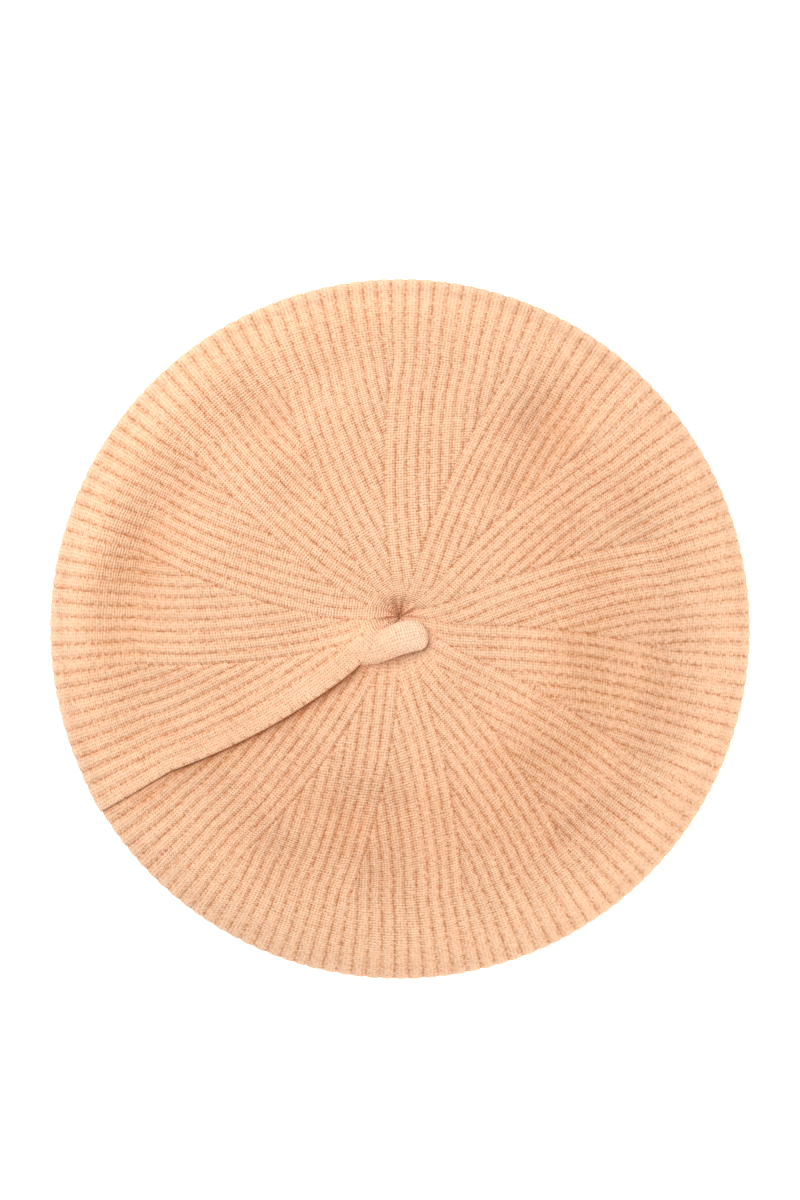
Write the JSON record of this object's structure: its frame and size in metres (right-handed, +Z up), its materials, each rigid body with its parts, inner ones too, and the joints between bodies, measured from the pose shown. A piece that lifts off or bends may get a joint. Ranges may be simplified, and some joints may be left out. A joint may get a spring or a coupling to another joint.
{
  "type": "knitted beret",
  "caption": "Round ribbed-knit beret with a swirled radial-rib crown, overlapping seam, centre stub and folded rib headband; soft, hollow and worn on the head.",
  "frame": {"origin": "on the table under the middle of the crown, at the bottom centre of the bounding box", "axes": "+Z up out of the crown, +Y towards the back, where the linked seam runs from the crown to the headband, +X to the wearer's right"},
  "size_m": [0.28, 0.28, 0.0465],
  "materials": {
    "wool_knit": "matte",
    "wool_rib_band": "matte",
    "wool_yarn": "matte",
    "elastic_cord": "matte",
    "woven_label": "satin",
    "satin_label": "satin",
    "sewing_thread": "satin"
  },
  "bodies": {
    "cap": {"knit_body": "wool_knit", "headband": "wool_rib_band", "headband_elastic": "elastic_cord", "headband_linking_chain": "wool_yarn", "headband_end_seam": "wool_yarn", "back_seam_chain": "wool_yarn", "crown_gather_yarn": "wool_yarn", "gather_knot": "wool_yarn", "stalk_anchor_yarn": "wool_yarn", "woven_label": "woven_label", "woven_label_stitch_left": "sewing_thread", "woven_label_stitch_right": "sewing_thread", "care_label_stitch": "sewing_thread"},
    "stub": {"stalk": "wool_knit"},
    "care_tag": {"care_label": "satin_label"}
  },
  "joints": [
    {"name": "stub_flop", "type": "hinge", "parent": "cap", "child": "stub", "pos_m": [-0.0018, 0.0129, 0.0412], "axis": [-0.9736, 0.2283, 0], "range_deg": [0, 90]},
    {"name": "care_tag_flip", "type": "hinge", "parent": "cap", "child": "care_tag", "pos_m": [-0.0783, 0, 0.0207], "axis": [0, -1, 0], "range_deg": [0, 100]}
  ]
}
